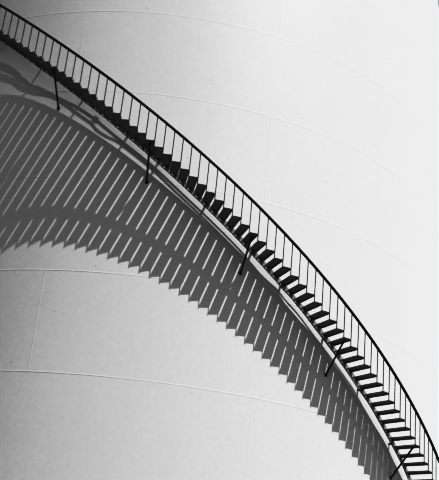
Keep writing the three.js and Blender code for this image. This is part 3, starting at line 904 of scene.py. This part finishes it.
def make_manway_cover():
    edge, bevel = MANWAY.flange_radius, MANWAY.bevel
    front = MANWAY.reach + MANWAY.flange_thickness
    rim, face = MANWAY.face_insets
    cover = turned([
        (0, MANWAY.reach), (edge, MANWAY.reach), (edge, front - bevel), (edge - bevel, front),
        (MANWAY.radius - rim, front), (MANWAY.radius - face, front - bevel), (0, front - bevel)],
        FITTING_STEPS)
    bolts = bolt_ring(
        hex_bolt(*MANWAY.bolt_size), MANWAY.bolts, MANWAY.first_bolt, edge - MANWAY.bolt_inset,
        front - SINK / 2)
    x, y = MANWAY.grip_half_size
    low, high = MANWAY.grip_heights
    grip = box_mesh((-x, -y, front + low), (x, y, front + high))
    whole = moved(joined([cover, bolts, grip]), MANWAY_FRAME)
    piece("manway_cover_bolted", {FITTING_PAINT: [whole]}, "fitting_paint", "manway_cover")


# Stair templates, made at place 0

def tread_grips(inner, outer):
    """Short raised bars in rows across a tread, leaning to each side in turn."""
    x, y = GRIP.length / 2, GRIP.width / 2
    grips = []
    for row in range(2, GRIP.rows + 2):
        lean = 1 if row % 2 else -1
        radius = inner + (outer - inner) * row / (GRIP.rows + 3)
        turn = Matrix.Rotation(lean * GRIP.tilt, 2)
        bar = [turn @ Vector(corner) for corner in ((-x, -y), (x, -y), (x, y), (-x, y))]
        for column in (-1, 0, 1):
            side = column * GRIP.column_spacing + lean * GRIP.stagger
            grips.append(loft([
                [(radius + a * size, side + b * size, z) for a, b in bar]
                for z, size in ((-SINK / 2, 1.0), (GRIP.height, GRIP.top_share))]))
    return grips


def tread_mesh():
    """A folded plate, as deep at each radius as the step between two treads, with grips and a cleat."""
    inner = STRINGER.radius - STRINGER.thickness / 2
    outer = TREAD_TIP * cos(STEP_ANGLE / 2)
    low, under = -TREAD_FOLD, -TREAD_PLATE
    sections = []
    for radius in (inner, outer):
        half = radius * STEP_ANGLE / 2 - TREAD_CLEARANCE
        flat, back = half - TREAD_BEND, half - TREAD_PLATE
        sections.append([(radius, y, z) for y, z in (
            (flat, 0), (half, -TREAD_BEND), (half, low), (back, low), (back, under),
            (-back, under), (-back, low), (-half, low), (-half, -TREAD_BEND), (-flat, 0))])
    near, far = CLEAT.sides
    cleat = box_mesh((inner, near, low - CLEAT.drop), (inner + CLEAT.length, far, under))
    shape = joined([loft(sections), cleat, *tread_grips(inner, outer)])
    return on_stair(shape, 0.5, tread_top(0))


def stringer_step_mesh():
    """One tread's length of the stringer, an upright plate with an oval hole."""
    cuts = 4
    run = STEP_ANGLE * STRINGER.radius
    centre = Vector((STRINGER.hole_place * run, STRINGER.hole_height))
    edge = [(i / cuts, 0.0) for i in range(cuts + 1)] + [(1.0, STRINGER.depth / 2)]
    edge += [(1 - i / cuts, STRINGER.depth) for i in range(cuts + 1)] + [(0.0, STRINGER.depth / 2)]
    rim = []
    for place, height in edge:
        away = (Vector((place * run, height)) - centre).normalized()
        rim.append(((centre.x + away.x * STRINGER.hole_half_length) / run,
                    centre.y + away.y * STRINGER.hole_half_height))
    count = len(edge)
    points, faces = [], []
    for radius in (STRINGER.radius, STRINGER_BACK):
        start = len(points)
        for place, height in edge + rim:
            points.append(around(radius, stair_azimuth(place), stringer_low(place) + height))
        faces += band(start, start + count, count)
    inside, top = 2 * count, count // 2
    faces += band(count, inside + count, count)
    for i in [*range(cuts), *range(top, top + cuts)]:
        faces.append((i, i + 1, inside + i + 1, inside + i))
    return mesh_of(points, faces)


def bracket_mesh():
    """An angle stub from the shell to the back of the stringer, with two bolts."""
    size, thin, half = BRACKET.size, ANGLE_THICKNESS, BRACKET.size / 2
    section = [(0, 0), (size, 0), (size, thin), (thin, thin), (thin, size), (0, size)]
    parts = [loft([
        [(radius, along - half, half - down) for along, down in section]
        for radius in (SHELL_RADIUS, STRINGER_BACK)])]
    for side in (-BRACKET.bolt_side, BRACKET.bolt_side):
        seat = Matrix.Translation((STRINGER.radius, side, BRACKET.bolt_rise)) @ OUTWARDS
        parts.append(moved(hex_bolt(BRACKET.bolt_size, BRACKET.bolt_size), seat))
    middle = stringer_low(0) + STRINGER.depth / 2
    return on_stair(joined(parts), 0, middle)


def brace_mesh():
    """A pipe strut from under the outer end of a tread back down to a pad on the shell."""
    foot = (SHELL_RADIUS, 0, -BRACE.foot_drop)
    top = (TREAD_OUTER - BRACE.inset, 0, -TREAD_FOLD / 2)
    strut = tube([foot, top], BRACE.radius, 12, RAIL_PAINT, spacing=0.3)
    low, high = BRACE.pad_ends
    pad = box_mesh(
        (SHELL_RADIUS - SINK, -BRACE.pad_half_width, low - BRACE.foot_drop),
        (SHELL_RADIUS + BRACE.pad_thickness, BRACE.pad_half_width, high - BRACE.foot_drop))
    return on_stair(joined([strut, pad]), 0.5, tread_top(0))


def rod_mesh():
    """A round rod from the handrail past one tread's nose to the back corner of the next."""
    top = tread_top(-1) + RAIL_HEIGHT
    rod = upright_prism(regular_outline(ROD_RADIUS, ROD_SIDES), tread_top(0) - TREAD_FOLD, top)
    return on_stair(rod, 0, radius=RAIL_RADIUS)


# Stair, handrail and conduits

def flight_treads(number):
    """The treads of one flight, highest first, with some more in the lowest and highest flights."""
    lowest = LOWEST_TREAD - EXTRA_LOW_TREADS - TREADS_PER_FLIGHT * number
    highest = HIGHEST_TREAD if number == FLIGHTS - 1 else lowest - TREADS_PER_FLIGHT + 1
    return range(highest, (LOWEST_TREAD if number == 0 else lowest) + 1)


def make_stair():
    flight_shapes = [template(mesh()) for mesh in (tread_mesh, stringer_step_mesh, bracket_mesh, brace_mesh)]
    rod = template(rod_mesh())
    for number in range(FLIGHTS):
        treads = flight_treads(number)
        steps = range(treads[0], treads[-1] + (2 if number == 0 else 1))
        make_flight(number, treads, steps, *flight_shapes)
        make_handrail(number, steps, rod)


def make_flight(number, treads, steps, tread, step, bracket, brace):
    """The treads of a flight, and the stringer with its stubs and brace, cut off at the ground."""
    stubs = [place for place in BRACKET_PLACES if treads[0] < place < treads[-1] + 1]
    braced = LOWEST_TREAD - BRACE.tread - TREADS_PER_FLIGHT * number
    steel = down_stair(tread, treads, STAIR_PAINT)
    supports = joined([down_stair(bracket, stubs, RAIL_PAINT), down_stair(brace, [braced], RAIL_PAINT)])
    stringer = down_stair(step, steps, STRINGER_PAINT)
    if number == 0:
        steel = joined([cut_at_ground(steel), stair_foot_mesh(treads[-1])])
        stringer, supports = cut_at_ground(stringer), cut_at_ground(supports)
    name = f"stair_flight_{number + 1:02d}"
    painted = {STAIR_PAINT: [tidy_faces(steel)], STRINGER_PAINT: [tidy_faces(stringer)],
               RAIL_PAINT: [tidy_faces(supports)]}
    piece(name + "_steel", painted, "stair_paint", name)


def stair_foot_mesh(lowest):
    """The plate that the stringer stands on."""
    out, along = STAIR_FOOT.half_size
    plate = box_mesh(
        (STRINGER.radius - out, -along, 0.0), (STRINGER.radius + out, along, STAIR_FOOT.thickness))
    return on_stair(plate, lowest + STAIR_FOOT.place)


def make_handrail(number, rod_places, rod):
    top = rod_places[0] - RAIL_OVERRUN
    end = rod_places[-1] + (RAIL_FOOT_OVERRUN if number == 0 else RAIL_OVERRUN)
    count = 4 * len(rod_places)
    path = []
    for i in range(count + 1):
        place = top + (end - top) * i / count
        height = min(tread_top(place - 1), LANDING_TOP) + RAIL_HEIGHT
        path.append(around(RAIL_RADIUS, stair_azimuth(place), height))
    rail = tube(path, RAIL_TUBE_RADIUS, RAIL_SIDES, RAIL_PAINT)
    rods = down_stair(rod, rod_places, RAIL_PAINT)
    if number == 0:
        rods = cut_at_ground(rods)
    name = f"handrail_{number + 1:02d}"
    piece(name + "_tube", {RAIL_PAINT: [rail, tidy_faces(rods)]}, "rail_paint", name)


def conduit_gap(bends, place):
    """How far off the shell a conduit runs at a place."""
    for (start, near), (end, far) in zip(bends, bends[1:]):
        if place <= end:
            share = (place - start) / (end - start)
            return near + (far - near) * share * share * (3 - 2 * share)


def conduit_path(bends, drop, first, last):
    path = []
    for i in range(round(2 * (last - first)) + 1):
        place = first + i / 2
        radius = SHELL_RADIUS + conduit_gap(bends, place)
        path.append(around(radius, stair_azimuth(place), tread_top(place - 1) - drop))
    return path


def make_conduits():
    """Two thin conduits that follow the stair between the shell and the stringer."""
    pipes = []
    for bends, drop in ((UPPER_CONDUIT, UPPER_CONDUIT_DROP), (LOWER_CONDUIT, LOWER_CONDUIT_DROP)):
        path = conduit_path(bends, drop, bends[0][0], bends[-1][0])
        pipes.append(tube(path, CONDUIT_RADIUS, 8, FITTING_PAINT, spacing=0.15))
    path = conduit_path(UPPER_CONDUIT, UPPER_CONDUIT_DROP, *COUPLING_PLACES)
    pipes.append(tube(path, COUPLING_RADIUS, 12, FITTING_PAINT, spacing=0.15))
    piece("stair_conduits", {FITTING_PAINT: pipes}, "fitting_paint")


# Landing

def make_landing():
    near, far = HIGHEST_TREAD - LANDING.near_gap, HIGHEST_TREAD - LANDING.length
    top, low, under = LANDING_TOP, LANDING_TOP - LANDING.thickness, LANDING_TOP - LANDING.plate
    inner, outer, rim = LANDING.inner_radius, TREAD_OUTER, LANDING.plate
    section = [(inner, low), (inner + rim, low), (inner + rim, under), (outer - rim, under),
               (outer - rim, low), (outer, low), (outer, top), (inner, top)]
    azimuths = [stair_azimuth(far + (near - far) * i / LANDING.steps) for i in range(LANDING.steps + 1)]
    parts = [bent_bar(section, azimuths)]
    head = top - LANDING.end_drop
    end = [(inner, low), (outer, low), (outer, head), (inner, head)]
    for place in (near - LANDING.end_inset, far + LANDING.end_inset):
        azimuth = stair_azimuth(place)
        parts.append(bent_bar(end, (azimuth - LANDING.end_half_turn, azimuth + LANDING.end_half_turn)))
    for step in LANDING.bracket_places:
        parts.append(on_stair(landing_bracket_mesh(), HIGHEST_TREAD - step))
    piece("landing_floor_plate", {STAIR_PAINT: parts}, "stair_paint", "landing_floor")
    make_landing_guard(far + GUARD.inset)


def bent_bar(section, azimuths):
    """A bar round the tank, with a section of (radius, height) corners."""
    return loft([[around(radius, azimuth, height) for radius, height in section] for azimuth in azimuths])


def landing_bracket_mesh():
    """An upright plate under the landing, notched to pass round the curb."""
    shelf, tip = SHELL_RADIUS + CURB_LEG + LANDING.bracket_gap, TREAD_OUTER - LANDING.bracket_inset
    under, head = SHELL_TOP - CURB_LEG - LANDING.bracket_gap, LANDING_TOP - LANDING.thickness / 2
    outline = [
        (SHELL_RADIUS, under), (SHELL_RADIUS, SHELL_TOP - LANDING.bracket_depth),
        (tip, head - LANDING.thickness), (tip, head), (shelf, head), (shelf, under)]
    half = LANDING.bracket_thickness / 2
    return loft([[(radius, side, height) for radius, height in outline] for side in (-half, half)])


def make_landing_guard(end_place):
    top, height = HIGHEST_TREAD - RAIL_OVERRUN, LANDING_TOP + RAIL_HEIGHT
    places = [top - i * (top - end_place) / GUARD.steps for i in range(GUARD.steps + 1)]
    rail = [around(RAIL_RADIUS, stair_azimuth(place), height) for place in places]
    corner = rail.pop()
    end = around(GUARD.end_radius, stair_azimuth(end_place), height)
    back = (rail[-1] - corner).normalized() * GUARD.bend
    inward = (end - corner).normalized() * GUARD.bend
    bend = [corner + back * along + inward * across for along, across in GUARD.bend_shares]
    parts = [tube([*rail, *bend, end], RAIL_TUBE_RADIUS, RAIL_SIDES, RAIL_PAINT, spacing=0.03)]
    low = LANDING_TOP - LANDING.thickness
    feet = [(RAIL_RADIUS, HIGHEST_TREAD - step, low) for step in GUARD.rods]
    feet += [(RAIL_RADIUS, end_place, low), (GUARD.end_radius + 2 * ROD_RADIUS, end_place, LANDING_TOP),
             ((GUARD.end_radius + RAIL_RADIUS) / 2, end_place, LANDING_TOP)]
    for radius, place, low in feet:
        rod = [around(radius, stair_azimuth(place), level) for level in (low, height)]
        parts.append(tube(rod, ROD_RADIUS, ROD_SIDES, RAIL_PAINT, spacing=0.3))
    piece("landing_guard_tube", {RAIL_PAINT: parts}, "rail_paint", "landing_guard")


# Floor, light and camera

def make_floor():
    size = FLOOR_HALF_SIZE
    mesh = mesh_of([(-size, -size, 0), (size, -size, 0), (size, size, 0), (-size, size, 0)], [(0, 1, 2, 3)])
    material = bpy.data.materials.new("floor")
    material.use_nodes = True
    surface = material.node_tree.nodes["Principled BSDF"].inputs
    surface["Base Color"].default_value = grey(0.3)
    surface["Roughness"].default_value = 0.9
    mesh.materials.append(material)
    floor = new_object("floor", mesh)
    floor.visible_diffuse = False
    floor.visible_glossy = False


def make_sun():
    light = bpy.data.lights.new("key light", "SUN")
    light.energy = SUN_STRENGTH
    light.angle = SUN_SPREAD
    lamp = new_object("key light", light)
    towards = around(cos(SUN_ELEVATION), SUN_AZIMUTH, sin(SUN_ELEVATION))
    lamp.rotation_euler = towards.to_track_quat("Z", "Y").to_euler()


def make_sky():
    world = bpy.data.worlds.new("studio")
    world.use_nodes = True
    tree = world.node_tree
    direction = parts_of(tree.nodes.new("ShaderNodeTexCoord").outputs["Generated"])
    light = product(*[remap(direction[axis], *fill) for axis, fill in SKY_FILL.items()])
    seen = add_node("ShaderNodeLightPath", tree).outputs["Is Camera Ray"]
    background = tree.nodes["Background"].inputs
    feed(background["Strength"], maths("MAXIMUM", product(seen, SEEN_SKY), light))
    background["Color"].default_value = grey(1.0)
    bpy.context.scene.world = world


def make_tone_curve():
    """A film-like curve with deep shade and soft lights."""
    settings = bpy.context.scene.view_settings
    settings.view_transform = "Standard"
    settings.use_curve_mapping = True
    curve = settings.curve_mapping.curves[3]
    curve.points[0].location, curve.points[1].location = TONES[0], TONES[-1]
    for light, shown in TONES[1:-1]:
        curve.points.new(light, shown)
    settings.curve_mapping.update()


def make_camera():
    data = bpy.data.cameras.new("camera")
    data.sensor_width = SENSOR
    data.lens = SENSOR * FOCAL_PIXELS / max(PHOTO_SIZE)
    data.clip_end = 500
    camera = new_object("camera", data)
    aim = Matrix.Rotation(-YAW, 4, "Z") @ Matrix.Rotation(pi / 2 + PITCH, 4, "X")
    camera.matrix_world = Matrix.Translation(EYE) @ aim @ Matrix.Rotation(ROLL, 4, "Z")
    bpy.context.scene.camera = camera


make_shell()
make_bottom()
make_curb()
make_roof()
make_vent()
make_hatch()
make_manway_neck()
make_manway_cover()
make_stair()
make_conduits()
make_landing()
for spare in templates:
    bpy.data.objects.remove(spare)
make_floor()
make_sun()
make_sky()
make_tone_curve()
make_camera()
